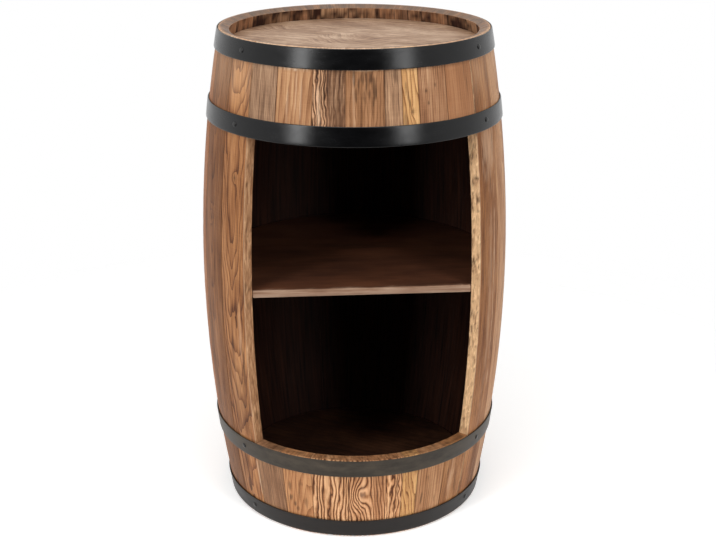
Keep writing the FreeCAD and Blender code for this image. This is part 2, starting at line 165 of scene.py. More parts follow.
def ring_count(kind, noise, across, height, depth):
    """Annual rings between the pith and each point, as a number that runs on smoothly."""
    pith_across, pith_depth = kind["pith"]
    amount, wide, tall = kind["wave"]
    reach = np.hypot(across - pith_across, depth + pith_depth)
    count = (reach + kind["taper"] * height) / kind["spacing"]
    count += 1.3 * noise(reach / 21, 11.5, 2)
    count += amount * noise(across / wide, height / tall)
    count += 0.35 * amount * noise(across / wide * 2.7, height / tall * 3.1 + 40)
    for knot in kind["knots"]:
        count += kind["swirl"] * np.exp(-knot_distance(across, height, knot) ** 2 / 3)
    return count


def blot(noise, across, height, patch):
    """A soft ragged patch: its strength in its middle, 0 outside."""
    place, level, wide, tall, strength = patch
    ragged = 0.7 * noise(across / 2.6 + level, height / 22 + place)
    ragged += 0.25 * noise(across / 9, height / 9 + level)
    far = np.hypot((across - place) / wide, (height - level) / tall) + ragged
    return strength * (1 - smooth_step(far, 0.35, 1.1))


# ---- mesh building

SHARP_ANGLE = math.radians(38)


def lattice_shell(columns, rows, layers):
    """Outside of a box of points: the three indices of each vertex, and the quads."""
    number = -np.ones((columns, rows, layers), int)
    inside = np.zeros((columns, rows, layers), bool)
    inside[1:-1, 1:-1, 1:-1] = True
    places = np.argwhere(~inside)
    number[tuple(places.T)] = np.arange(len(places))
    quads = []
    for sheet, flip in (
        (number[:, :, 0], False), (number[:, :, -1], True),
        (number[0], True), (number[-1], False),
        (number[:, 0], True), (number[:, -1], False),
    ):
        corners = [sheet[:-1, :-1], sheet[1:, :-1], sheet[1:, 1:], sheet[:-1, 1:]]
        faces = np.stack([corner.ravel() for corner in corners], axis=1)
        quads.append(faces[:, ::-1] if flip else faces)
    return places, np.concatenate(quads)


def new_object(name, data):
    made = bpy.data.objects.new(name, data)
    bpy.context.scene.collection.objects.link(made)
    return made


def mesh_piece(name, points, faces, material, nodes, attributes=None, grain=None):
    """Object from points in metres, that stands for some CAD nodes."""
    mesh = bpy.data.meshes.new(name)
    mesh.from_pydata([tuple(point) for point in points], [],
                     [tuple(map(int, face)) for face in faces])
    mesh.update()
    for label, values in (attributes or {}).items():
        layer = mesh.attributes.new(label, "FLOAT", "POINT")
        layer.data.foreach_set("value", np.asarray(values, np.float32))
    if grain is not None:
        layer = mesh.uv_layers.new(name="grain")
        corners = np.zeros(len(mesh.loops), np.int32)
        mesh.loops.foreach_get("vertex_index", corners)
        layer.data.foreach_set("uv", np.asarray(grain, np.float32)[corners].ravel())
    mesh.polygons.foreach_set("use_smooth", np.ones(len(mesh.polygons), bool))
    mesh.set_sharp_from_angle(angle=SHARP_ANGLE)
    mesh.materials.append(material)
    piece = new_object(name, mesh)
    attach(piece, "root")
    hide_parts(*nodes)


def spaced(length, step, ease):
    """Places from 0 to a length, a step apart, with extra ones near both ends."""
    count = max(2, int(round((length - 2 * ease) / step)))
    middle = np.linspace(ease, length - ease, count)
    near = np.array([0.0, 0.3, 0.65]) * ease
    return np.concatenate([near, middle, length - near[::-1]])


def turned_shell(outline, rings, centre):
    """Closed shell from an outline that is scaled about a centre, one ring per height.

    Each ring is a scale, a height and how far the ring is drawn in, in millimetres.
    """
    outline = np.asarray(outline, float)
    spokes = outline - centre
    reach = np.linalg.norm(spokes, axis=1, keepdims=True)
    points = [[centre[0], centre[1], rings[0][1]]]
    for scale, height, inset in rings:
        flat = centre + spokes * scale * (1 - inset / reach)
        points.extend(np.column_stack([flat, np.full(len(flat), height)]))
    points.append([centre[0], centre[1], rings[-1][1]])
    count = len(outline)
    faces = []
    for side in range(count):
        following = (side + 1) % count
        faces.append((0, 1 + following, 1 + side))
        for ring in range(len(rings) - 1):
            low, high = 1 + ring * count, 1 + (ring + 1) * count
            faces.append((low + side, low + following, high + following, high + side))
        last = 1 + (len(rings) - 1) * count
        faces.append((last + side, last + following, len(points) - 1))
    return np.array(points), faces


# ---- materials


def linear(colour):
    """Colour as seen on a screen, 0 to 255, turned into the linear one that shaders take."""
    return tuple(((part / 255 + 0.055) / 1.055) ** 2.4 for part in colour) + (1.0,)


class Shader:
    """Short calls for building the nodes of a new material, or of the world."""

    def __init__(self, name, world=None):
        self.material = world or bpy.data.materials.new(name)
        self.material.use_nodes = True
        self.tree = self.material.node_tree
        self.surface = self.tree.nodes.get("Principled BSDF")

    def node(self, kind, **settings):
        made = self.tree.nodes.new(kind)
        for label, setting in settings.items():
            setattr(made, label, setting)
        return made

    def put(self, socket, given):
        if isinstance(given, bpy.types.NodeSocket):
            self.tree.links.new(given, socket)
        else:
            socket.default_value = given

    def feed(self, made, *given, **named):
        """Fills a node's first inputs, and some by name, and gives its first output."""
        for socket, value in zip(made.inputs, given):
            self.put(socket, value)
        for label, value in named.items():
            self.put(made.inputs[label], value)
        return made.outputs[0]

    def math(self, operation, first, second=0.0, clamp=False):
        made = self.node("ShaderNodeMath", operation=operation, use_clamp=clamp)
        return self.feed(made, first, second)

    def times(self, first, second, clamp=False):
        return self.math("MULTIPLY", first, second, clamp)

    def blend(self, share, first, second):
        made = self.node("ShaderNodeMix", data_type="RGBA")
        self.put(made.inputs["Factor"], share)
        self.put(made.inputs[6], first)
        self.put(made.inputs[7], second)
        return made.outputs[2]

    def mix_shaders(self, share, first, second):
        return self.feed(self.node("ShaderNodeMixShader"), share, first, second)

    def spread(self, given, low, high, to_low=0.0, to_high=1.0, kind="LINEAR"):
        made = self.node("ShaderNodeMapRange", interpolation_type=kind)
        return self.feed(made, given, low, high, to_low, to_high)

    def vector(self, operation, first, second=(0, 0, 0)):
        """Number that comes from one or two vectors."""
        made = self.node("ShaderNodeVectorMath", operation=operation)
        self.feed(made, first, second)
        return made.outputs["Value"]

    def ramp(self, given, stops):
        made = self.node("ShaderNodeValToRGB")
        band = made.color_ramp
        while len(band.elements) < len(stops):
            band.elements.new(0.5)
        for element, (place, colour) in zip(band.elements, stops):
            element.position = place
            element.color = linear(colour)
        return self.feed(made, given)

    def varied(self, tone, textures, contrast=1.0):
        """A tone with textures added to it, each centred on 0 and scaled."""
        for given, amount in textures:
            centred = self.math("SUBTRACT", given, 0.5)
            tone = self.math("ADD", tone, self.times(centred, contrast * amount))
        return tone

    def attribute(self, label):
        return self.node("ShaderNodeAttribute", attribute_name=label).outputs["Fac"]

    def grain_place(self):
        return self.node("ShaderNodeUVMap", uv_map="grain").outputs[0]

    def object_place(self):
        return self.node("ShaderNodeTexCoord").outputs["Object"]

    def noise(self, place, scale, offset=(0, 0, 0), detail=3.0, rough=0.55, distortion=0.0):
        """Noise over a place that is stretched and moved first."""
        mapped = self.feed(self.node("ShaderNodeMapping"), place, Scale=scale, Location=offset)
        return self.feed(self.node("ShaderNodeTexNoise"), mapped, Scale=1.0, Detail=detail,
                         Roughness=rough, Distortion=distortion)

    def bump(self, height, strength, distance):
        normal = self.feed(self.node("ShaderNodeBump"), strength, distance, Height=height)
        self.feed(self.surface, Normal=normal)

    def finish(self, colour, roughness, specular):
        self.feed(self.surface, colour, Roughness=roughness)
        self.put(self.surface.inputs["Specular IOR Level"], specular)
        return self.material


# Each palette: dark, middle and light wood, how much the rings, the fibre and the patches
# of tone show.
PALETTES = {
    "reddish": ((96, 54, 30), (166, 110, 70), (202, 148, 102), 0.34, 0.62, 0.65),
    "even": ((118, 76, 48), (166, 112, 73), (194, 142, 98), 0.2, 0.32, 0.3),
    "tan": ((118, 74, 44), (180, 130, 90), (214, 168, 124), 0.42, 0.55, 0.5),
    "grey": ((86, 60, 44), (150, 115, 88), (188, 152, 120), 0.36, 0.8, 0.5),
    "gold": ((120, 74, 40), (194, 144, 92), (230, 182, 126), 0.6, 0.55, 0.45),
    "brown": ((76, 44, 25), (140, 92, 56), (176, 124, 80), 0.36, 0.65, 0.65),
    "ridged": ((84, 48, 24), (178, 128, 88), (238, 192, 148), 0.95, 0.6, 0.45),
    "carved": ((52, 30, 15), (150, 108, 76), (226, 180, 136), 0.95, 0.7, 0.5),
    "veined": ((92, 52, 28), (154, 103, 64), (202, 148, 100), 0.56, 0.72, 0.75),
    "walnut": ((84, 44, 22), (150, 94, 55), (186, 128, 82), 0.45, 0.6, 0.65),
    "smudged": ((90, 56, 34), (160, 114, 78), (202, 154, 114), 0.36, 0.6, 0.6),
}
STAIN = (58, 36, 22)
CUT_TORN, CUT_RAISED = (106, 66, 38), (246, 206, 158)
WEATHERED = (104, 92, 84)
PALE = (224, 190, 158)
# Inner wall: a dark stain, made darker still with painted shade of the dim inside.
INSIDE_DARK, INSIDE_LIGHT = (20, 9, 6), (62, 34, 23)
CUT_DARK, CUT_MID, CUT_LIGHT = (112, 72, 44), (174, 127, 90), (222, 176, 134)

# How strongly the textures tell in the tone of a stave, and how much its saw marks do.
TONE_CONTRAST = 1.6
SAW_MARKS = 0.12


def stave_material(name, palette, tint):
    """Varnished old oak. The rings come from the mesh, so they follow its grooves."""
    rings, fibres, patches = PALETTES[palette][3:]
    dark, middle, light = [tuple(part * share for part, share in zip(colour, tint))
                           for colour in PALETTES[palette][:3]]
    shader = Shader(name)
    place = shader.grain_place()
    ring = shader.attribute("ring")
    if palette in ("ridged", "carved"):
        season = shader.math("COSINE", shader.times(ring, WHOLE_TURN))
        season = shader.math("POWER", shader.spread(season, -1.0, 1.0), 0.42)
        season = shader.math("SUBTRACT", season, 0.68)
    else:
        late = shader.math("POWER", shader.math("FRACT", ring), 3.5)
        season = shader.math("SUBTRACT", 0.22, late)
    fibre = shader.noise(place, (700, 14, 1), detail=4, rough=0.6)
    coarse = shader.noise(place, (170, 7, 1), (3, 5, 0))
    patch = shader.noise(place, (38, 7, 1), (9, 2, 0), rough=0.6)
    saw = shader.noise(place, (16, 640, 1), (0, 3, 0), detail=2)

    def along_fibre(label, low, high, to_low, to_high):
        """A tone of the mesh, broken up by the fibre."""
        broken = shader.spread(fibre, low, high, to_low, to_high)
        return shader.times(shader.attribute(label), broken, clamp=True)

    bold = shader.times(shader.attribute("bold"), rings)
    tone = shader.math("ADD", shader.times(season, bold), 0.5)
    textures = ((fibre, fibres), (coarse, 0.8 * fibres), (patch, patches), (saw, SAW_MARKS))
    tone = shader.varied(tone, textures, TONE_CONTRAST)
    colour = shader.ramp(tone, ((0.08, dark), (0.5, middle), (0.92, light)))
    pores = shader.noise(place, (1500, 60, 1), (1, 8, 0), detail=2)
    pore = shader.spread(pores, 0.62, 0.72, 0, 0.5)
    colour = shader.blend(pore, colour, linear(dark))
    splits = shader.noise(place, (230, 4.5, 1), (6, 1, 0), detail=4, rough=0.6)
    crack = shader.spread(splits, 0.635, 0.68, 0, 0.68)
    colour = shader.blend(crack, colour, linear(STAIN))
    stain = along_fibre("stain", 0.3, 0.65, 1.15, 0.6)
    colour = shader.blend(stain, colour, linear(STAIN))
    pale = along_fibre("pale", 0.35, 0.7, 0.5, 1.1)
    colour = shader.blend(pale, colour, linear(PALE))

    # Sawn faces: specks of cut fibre, torn and raised splinters, pale and dark chips; their stain
    # also holds painted shade in the dents.
    speck = shader.noise(place, (260, 34, 1), detail=5, rough=0.64)
    cut = shader.ramp(speck, ((0.27, CUT_DARK), (0.5, CUT_MID), (0.75, CUT_LIGHT)))
    splinter = shader.noise(place, (300, 74, 1), (2, 7, 0), 5, 0.66, 0.8)
    for low, high, most, tinge in ((0.56, 0.63, 0.85, CUT_TORN), (0.46, 0.4, 0.7, CUT_RAISED)):
        torn = shader.times(shader.spread(splinter, low, high, 0, most),
                            shader.attribute("bold"))
        cut = shader.blend(torn, cut, linear(tinge))
    cut = shader.blend(shader.times(pale, 0.7), cut, linear(CUT_RAISED))
    cut = shader.blend(shader.times(stain, 0.92), cut, linear(STAIN))
    colour = shader.blend(shader.attribute("cut"), colour, cut)

    grey = along_fibre("weathered", 0.35, 0.65, 1.2, 0.75)
    colour = shader.blend(grey, colour, linear(WEATHERED))
    # The inner face takes the dark stain with its painted shade.
    inner_stain_and_shade = shader.ramp(coarse, ((0.3, INSIDE_DARK), (0.75, INSIDE_LIGHT)))
    colour = shader.blend(shader.attribute("inside"), colour, inner_stain_and_shade)
    rough = shader.spread(shader.math("ADD", fibre, patch), 0.6, 1.4, 0.62, 0.44)
    height = shader.math("SUBTRACT", shader.math("ADD", fibre, coarse), pore)
    height = shader.math("SUBTRACT", height, crack)
    height = shader.math("ADD", height, shader.times(saw, 0.25))
    shader.bump(height, 0.6, 0.0006)
    return shader.finish(colour, rough, 0.16)


STAVE_MATERIALS = {}


def wood_material(kind):
    """Material of a kind of wood, made once for each palette and tint."""
    key = (kind["palette"], kind["tint"])
    if key not in STAVE_MATERIALS:
        name = "stave_%s_%d" % (kind["palette"], len(STAVE_MATERIALS) + 1)
        STAVE_MATERIALS[key] = stave_material(name, *key)
    return STAVE_MATERIALS[key]


# Scales of the fine and the broad texture of steel, along a hoop or even all round.
HOOP_SCALES = ((30, 1400, 1), (24, 60, 1))
NAIL_SCALES = ((600, 600, 600), (160, 160, 160))


def steel_material(name, tone, worn, gloss, specular, hoop=True):
    """Black steel, lighter on worn edges; a hoop is faintly brushed along its length."""
    shader = Shader(name)
    place = shader.grain_place() if hoop else shader.object_place()
    fine, broad = HOOP_SCALES if hoop else NAIL_SCALES
    brushed = shader.noise(place, fine, rough=0.6)
    cloud = shader.noise(place, broad, detail=4, rough=0.65)
    dust = shader.noise(place, (500, 500, 500), detail=2)
    dull = tuple(part * 1.6 + 4 for part in tone)
    colour = shader.ramp(cloud, ((0.3, tone), (0.72, dull)))
    for share in (shader.spread(dust, 0.68, 0.76, 0, 0.35), shader.attribute("pale")):
        colour = shader.blend(share, colour, linear(worn))
    mottled = shader.math("ADD", shader.times(cloud, 0.8), shader.times(brushed, 0.2))
    rough = shader.spread(mottled, 0.3, 0.7, *gloss)
    shader.bump(shader.math("ADD", shader.times(brushed, 0.4), cloud), 0.2, 0.0002)
    return shader.finish(colour, rough, specular)


# The upper hoops show the black steel. The lower and bottom hoops are copies of it in lighter
# colours, with painted light on them: more on the lower hoop, less on the bottom hoop.
HOOP_STEEL = steel_material("hoop_black", (4, 4, 5), (54, 52, 50), (0.2, 0.3), 0.3)
LOWER_STEEL_PAINTED_LIGHT = steel_material("hoop_lower_painted_light", (42, 37, 31), (84, 76, 68), (0.36, 0.48), 0.18)
BOTTOM_STEEL_PAINTED_LIGHT = steel_material("hoop_bottom_painted_light", (14, 10, 8), (66, 58, 50), (0.36, 0.48), 0.26)
NAIL_STEEL = steel_material("nail_black", (7, 6, 6), (90, 86, 82), (0.25, 0.4), 0.36, hoop=False)


# The grain of the heads: its turn, and how many rings there are to a metre.
HEAD_TURN = math.radians(24)
HEAD_RINGS = 66.0
# Knots of the heads in the turned plane of the board, in metres: place, reach, rings.
HEAD_KNOTS = (((0.005, -0.03, 0.78), 0.07, 4.2), ((-0.13, 0.03, 0.78), 0.05, 2.4),
              ((0.12, 0.09, 0.78), 0.06, 2.0))


def head_material(name, dark, middle, light):
    """Flat-sawn board: long grain with slow swirls, softly sanded, darker patches of wear."""
    shader = Shader(name)
    place = shader.feed(shader.node("ShaderNodeMapping"), shader.object_place(),
                        Rotation=(0, 0, HEAD_TURN))
    drift = shader.noise(place, (2.2, 6, 1), (2, 1, 0), detail=2, rough=0.5)
    split = shader.node("ShaderNodeSeparateXYZ")
    along = shader.feed(split, place)
    line = shader.math("ADD", shader.times(split.outputs[1], HEAD_RINGS), shader.times(drift, 9.0))
    for centre, reach, rings in HEAD_KNOTS:
        away = shader.vector("DISTANCE", place, centre)
        line = shader.math("ADD", line, shader.spread(away, 0, reach, rings, 0))
    late = shader.math("POWER", shader.math("FRACT", line), 3.0)
    bent = shader.feed(shader.node("ShaderNodeCombineXYZ"), along,
                       shader.times(line, 1 / HEAD_RINGS))
    fibre = shader.noise(bent, (70, 520, 520), (0, 0, 0), 5, 0.66, 0.5)
    cloud = shader.noise(place, (9, 18, 10), detail=4, rough=0.62)
    tone = shader.math("SUBTRACT", 0.57, shader.times(late, 0.3))
    tone = shader.varied(tone, ((fibre, 1.25), (cloud, 1.35)))
    colour = shader.ramp(tone, ((0.1, dark), (0.5, middle), (0.9, light)))
    rough = shader.spread(cloud, 0.3, 0.7, 0.6, 0.48)
    shader.bump(shader.math("SUBTRACT", fibre, shader.times(late, 0.3)), 0.5, 0.0005)
    return shader.finish(colour, rough, 0.3)


HEAD_WOOD = head_material("head_oak", (100, 68, 46), (160, 127, 100), (204, 174, 146))
FLOOR_WOOD = head_material("floor_stained", (24, 12, 8), (58, 34, 22), (92, 60, 40))


def shelf_material():
    """Dark stained board, worn pale along its front edge."""
    shader = Shader("shelf_stained")
    place = shader.object_place()
    fibre = shader.noise(place, (16, 520, 300), detail=4, rough=0.6)
    cloud = shader.noise(place, (9, 24, 20), detail=4)
    tone = shader.times(shader.math("ADD", fibre, cloud), 0.5)
    stained = shader.ramp(tone, ((0.34, (44, 23, 15)), (0.66, (104, 64, 44))))
    worn = shader.ramp(tone, ((0.34, (112, 78, 56)), (0.5, (146, 114, 92)),
                              (0.66, (178, 150, 128))))
    colour = shader.blend(shader.attribute("pale"), stained, worn)
    rough = shader.spread(cloud, 0.3, 0.7, 0.5, 0.36)
    shader.bump(fibre, 0.4, 0.0004)
    return shader.finish(colour, rough, 0.4)


SHELF_WOOD = shelf_material()


# ---- staves

# Depths of the layers of points in a stave, and in one beside the doorway.
STAVE_LAYERS = (0, 0.8, 4.6, 5.4, 11, 17.2, THICKNESS)
JAMB_LAYERS = (0, 0.8, 2.4, 4.6, 5.4, 8, 10.5, 13, 15.4, 17.2, THICKNESS)
# Greatest depths worn into a stave's back: in broad hollows, along the fibre, at a knot.
BROAD_WEAR, FINE_WEAR, KNOT_WEAR = 0.18, 0.12, 0.5
# Levels between which the wood gets darker towards the floor, and paler towards the rim.
LOW_DARKENING_LEVELS = (110, 200)
HIGH_PALING_LEVELS = (690, 760)
LOW_DARKENING_FULL, HIGH_PALING_FULL = 0.3, 0.22
# The sawn face beside the doorway, by the joint that it is on: depth of its splinters,
# darkness of its chips together with the painted shade in its dents, how much torn fibre shows and
# how pale the rest is.
SAWN_FACES = {-1: (0.45, 0.95, 1.0, 1.0), 1: (0.22, 0.6, 0.1, 0.0)}
DENT_DEPTH = 2.4
# The sawn ends: height of the band at the rim, how much cut and torn wood shows, dirt.
RIM_BAND = 8
END_CUT, END_TORN = 0.15, 0.25
END_GRIME, END_GRIME_FULL, MOST_GRIME = 0.7, 0.55, 0.9
# Above and below these levels the inner wall is raw: it goes only part of the way to the dark
# inner colour, which holds painted shade.
RAW_ABOVE = HEAD_HIGH.z / MM - 1
RAW_BELOW = 20
# Shift of the grain's texture from one stave to the next, across and up.
GRAIN_SHIFT = np.array([3.7, 51.3])


def stave_span(node):
    """Azimuths of a stave's two joints, and its lowest and highest level, in mm."""
    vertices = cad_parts[node].data.vertices
    points = np.zeros(len(vertices) * 3)
    vertices.foreach_get("co", points)
    points = points.reshape(-1, 3) / MM
    azimuth = np.arctan2(points[:, 0], AXIS_Y - points[:, 1])
    middle = math.atan2(points[:, 0].mean(), AXIS_Y - points[:, 1].mean())
    turned = (azimuth - middle + math.pi) % WHOLE_TURN - math.pi
    low, high = points[:, 2].min(), points[:, 2].max()
    return middle + turned.min(), middle + turned.max(), low, high


def end_level(level, depth):
    """Height at which a stave ends at a depth: the chime slopes in, a saw cut is level."""
    slope = np.maximum(depth - CHIME_LAND, 0) * CHIME_SLOPE
    if level > HEIGHT - 1:
        return level - slope
    if level < 1:
        return level + slope
    return level + 0 * depth


def stave_relief(kind, noise, across, height, count, bold):
    """Depth worn into the back: soft early wood lies lower than the hard late wood."""
    groove = (0.5 - 0.5 * np.cos(WHOLE_TURN * count)) ** kind["sharp"]
    relief = kind["groove"] * bold * groove * (0.65 + 0.35 * noise(across / 9, height / 60 + 9))
    relief += BROAD_WEAR * (1 + noise(across / 14, height / 90, 2))
    relief += FINE_WEAR * (1 + noise(across / 2.5, height / 25 + 7, 2))
    for knot in kind["knots"]:
        relief += KNOT_WEAR * np.exp(-2 * knot_distance(across, height, knot) ** 2)
    return relief


def sawn_relief(noise, height, depth, splinters):
    """How far the rough face beside the doorway stands back, and where its dents are."""
    rough = splinters * (1 + noise(height / 7, depth / 3.5))
    rough += 0.1 * (1 + noise(height / 40, depth / 9))
    dents = np.clip(noise(height / 13, depth / 5 + 9) * 2.4 - 0.8, 0, 1)
    rough += DENT_DEPTH * splinters * dents
    corner = near_edge(np.minimum(depth, THICKNESS - depth), 1.6) * 1.1
    return JOINT_GAP + rough + corner, dents


def stave_marks(kind, noise, across, height, to_joint, full):
    """Dark and pale marks on a stave's back, and its darkening at the joints and towards the
    floor, each from 0 to about 1.
    """
    stain = np.zeros(len(across))
    pale = np.zeros(len(across))
    for knot in kind["knots"]:
        heart = np.exp(-1.6 * knot_distance(across, height, knot) ** 2)
        stain = np.maximum(stain, kind["knot_dark"] * heart)
    for patch in kind["smudges"]:
        stain = np.maximum(stain, blot(noise, across, height, patch))
    for patch in kind["streaks"]:
        pale = np.maximum(pale, blot(noise, across, height, patch))
    # Full staves grow paler towards the rim.
    if full:
        paleness = HIGH_PALING_FULL * smooth_step(height, *HIGH_PALING_LEVELS)
        pale = np.maximum(pale, paleness * (1 + 0.5 * noise(across / 5, height / 40 + 8)))
    joint_and_low_darkening = near_edge(to_joint, 2.2) * (0.55 + 0.3 * noise(across, height / 12))
    # Darker towards the floor, most on the full staves.
    soiled = LOW_DARKENING_FULL if full else kind["soiled"]
    soiled = soiled * (1 - smooth_step(height, *LOW_DARKENING_LEVELS))
    joint_and_low_darkening = np.maximum(joint_and_low_darkening, soiled * (1 + 0.5 * noise(across / 7, height / 30 + 3)))
    return stain, pale, joint_and_low_darkening


def raw_wall_darkness(noise, across, height, to_joint):
    """How far the raw inner wall goes towards the dark inner colour and its painted shade, uneven
    from stave to stave and along each one.
    """
    raw_darkness = 0.68 + 0.35 * noise(3.3, 7.7, 1) + 1.0 * noise(across / 15, height / 13 + 5)
    raw_darkness += 0.3 * noise(across / 3.1, height / 26 + 9)
    return np.clip(np.maximum(raw_darkness, near_edge(to_joint, 4)), 0.2, 1)


def make_stave(node, kind, steps, seed, open_side=0):
    """Stave with a rounded back, eased edges, grain relief and a chime or a sawn end.

    open_side is -1 or 1 where the first or the last joint faces the doorway.
    """
    noise = Noise(seed)
    first, last, low, high = stave_span(node)
    angle = last - first
    width = angle * wall_radius((low + high) / 2)
    columns = spaced(width, steps[0], EASE_WIDTH)
    rows = spaced(high - low, steps[1], EASE_WIDTH)
    layers = np.array(JAMB_LAYERS if open_side else STAVE_LAYERS)
    places, quads = lattice_shell(len(columns), len(rows), len(layers))
    column, row, layer = places.T
    share = columns[column] / width
    depth = layers[layer]
    lowest, highest = end_level(low, depth), end_level(high, depth)
    height = lowest + (highest - lowest) * rows[row] / (high - low)
    radius = wall_radius(height)
    across = (share - 0.5) * angle * radius
    half_width = angle * radius / 2

    to_joint = half_width - np.abs(across)
    to_end = np.minimum(height - low, high - height)
    on_joint = (column == 0) | (column == len(columns) - 1)
    on_end = (row == 0) | (row == len(rows) - 1)
    behind = layer > 0
    at_door = (share - 0.5) * open_side > 0
    full = high - low > HEIGHT - 1

    count = ring_count(kind, noise, across, height, depth)
    bold = 1 - smooth_step(across, kind["bold_to"] - 1, kind["bold_to"] + 3)
    bold = kind["bold_rest"] + (1 - kind["bold_rest"]) * bold
    relief = stave_relief(kind, noise, across, height, count, bold)
    relief += EASE_DEPTH * near_edge(to_joint, EASE_WIDTH * 0.9)
    relief += EASE_DEPTH * near_edge(to_end, EASE_WIDTH)
    sunk = depth + relief * (1 - depth / THICKNESS)

    stain, pale, joint_and_low_darkening = stave_marks(kind, noise, across, height, to_joint, full)
    stain = np.maximum(stain, joint_and_low_darkening * ~at_door)
    pale = np.maximum(pale, at_door * near_edge(to_joint, 2.6) * 0.7 * ~behind)
    at_rim = (height > HEIGHT - RIM_BAND) & (layer < len(layers) - 1)
    land = near_edge(depth, 2.4) * (0.7 + 0.5 * noise(across / 5, 2.5)) + 0.04
    pale = np.where(at_rim, np.maximum(pale, land), pale)
    weathered = (0.62 + 0.5 * noise(across / 9, depth / 7 + 4)) * (0.35 + 0.65 * (layer > 1))
    weathered = np.where(at_rim & (row == len(rows) - 1), weathered, 0)

    # The joint faces stand back by the gap; a face that shows in the doorway is rough.
    inset = np.full(len(column), JOINT_GAP)
    cut = np.zeros(len(column))
    if open_side:
        splinters, chip_dark_and_dent_shade, torn, paleness = SAWN_FACES[open_side]
        sawn_inset, dents = sawn_relief(noise, height, depth, splinters)
        inset = np.where(at_door, sawn_inset, inset)
        sawn = on_joint & at_door & behind
        chips_and_dent_shade = noise(height / 8.5, depth / 3.2, 4) * 3.4 - 0.75
        chips_and_dent_shade += 1.1 * noise(height / 40, 5.5, 2)
        # Painted shade: the dents, set back in the face, are darkened as well.
        chips_and_dent_shade += 0.7 * dents
        stain = np.where(sawn, chip_dark_and_dent_shade * np.clip(chips_and_dent_shade, 0, 1), stain)
        pale = np.where(sawn, paleness * (0.5 + 0.4 * np.clip(-chips_and_dent_shade, 0, 1)), pale)
        bold = np.where(sawn, torn, bold)
        cut = np.where(sawn, 1.0, cut)
    squeezed = np.clip(across, -(half_width - inset), half_width - inset)
    azimuth = (first + last) / 2 + squeezed / radius
    points = around(azimuth, wall_radius(height, sunk), height)

    bold = np.where(on_end & behind, END_TORN, bold)
    cut = np.where(on_end & behind & ~on_joint, END_CUT, cut)
    grime = (END_GRIME_FULL if full else END_GRIME) + 0.8 * noise(across / 8, depth / 6)
    grime = np.clip(np.maximum(stain, grime * (1 - END_CUT)), 0, MOST_GRIME)
    stain = np.where(on_end & (layer > (1 if full else 0)), grime, stain)
    # The inner face gets the dark inner colour with its painted shade; the raw parts get it only
    # in part.
    inner = (layer == len(layers) - 1) & (cut < 0.5) & ~on_end
    raw = (height > RAW_ABOVE) | (height < RAW_BELOW)
    inside = np.where(raw & inner, raw_wall_darkness(noise, across, height, to_joint), inner)
    grain = (np.column_stack([across, height]) + seed * GRAIN_SHIFT) * MM
    grain[:, 0] += depth * MM * (on_joint & behind)
    grain[:, 1] += depth * MM * (on_end & behind)
    tones = dict(ring=count, bold=bold, stain=stain, pale=pale, cut=cut, inside=inside,
                 weathered=weathered)
    mesh_piece(node + "_wood", points, quads, wood_material(kind), (node,), tones,
               grain)


# The short staves above and below the doorway, from the photograph's left to its right.
UPPER_WOODS = (
    wood("grey", (-150, 40), 2.8, 0.3, wave=(0.8, 10, 60)),
    wood("tan", (110, 70), 6.0, 0.3, tint=(0.93, 0.92, 0.91), taper=0.03,
         streaks=((0, 778.5, 26, 3.0, 1.2), (4, 742, 2.0, 40, 0.3), (12, 735, 2, 44, 0.35),
             (-10, 730, 2, 40, 0.25))),
    wood("carved", (-50, 14), 5.2, 2.6, sharp=1.3, taper=0.03, wave=(1.1, 14, 32), bold_to=-4.0,
         bold_rest=0.34, tint=(0.93, 0.91, 0.92), smudges=((8, 745, 19, 90, 0.6),
             (12, 720, 14, 60, 0.66), (-12, 752, 2, 40, 0.7), (-7, 742, 1.6, 50, 0.75)),
         streaks=((-15, 720, 4, 40, 0.6),)),
    wood("smudged", (70, 40), 5, 0.3, wave=(0.7, 14, 60), tint=(0.9, 0.88, 0.86),
         smudges=((-16, 767, 3.2, 15, 0.85), (-10, 758, 2.8, 20, 0.9), (-4, 769, 3, 12, 0.8),
             (2, 763, 2.4, 16, 0.75), (8, 768, 3, 14, 0.85), (14, 757, 3.4, 22, 0.85),
             (-13, 741, 2.2, 12, 0.65), (-1, 745, 2.4, 12, 0.6), (6, 742, 2.6, 12, 0.65),
             (12, 733, 2, 9, 0.5)), streaks=((0, 779, 24, 2.5, 0.8), (-17, 730, 2, 46, 0.25))),
    wood("grey", (-60, 30), 3.0, 0.35, tint=(1.06, 1.05, 1.03), wave=(0.9, 9, 50),
         smudges=((3, 770, 8, 12, 0.5),)),
    wood("gold", (-60, 30), 7.5, 0.35, taper=0.12, wave=(0.3, 15, 60), knots=((2, 716, 3.0),),
         swirl=1.0, smudges=((-9, 706, 4, 22, 0.5), (-7, 752, 1.2, 14, 0.8),
             (-4.5, 740, 1.2, 12, 0.8), (-2, 728, 1.3, 10, 0.9))),
    wood("reddish", (60, 25), 3.6, 0.2, tint=(0.96, 1.02, 1.12), smudges=((-12, 744, 3, 3, 0.9),
             (-9, 726, 2.5, 3, 0.8), (4, 752, 2.2, 3, 0.6))),
    wood("even", (-180, 60), 5.0, 0.12, tint=(1.0, 1.02, 1.06)),
)
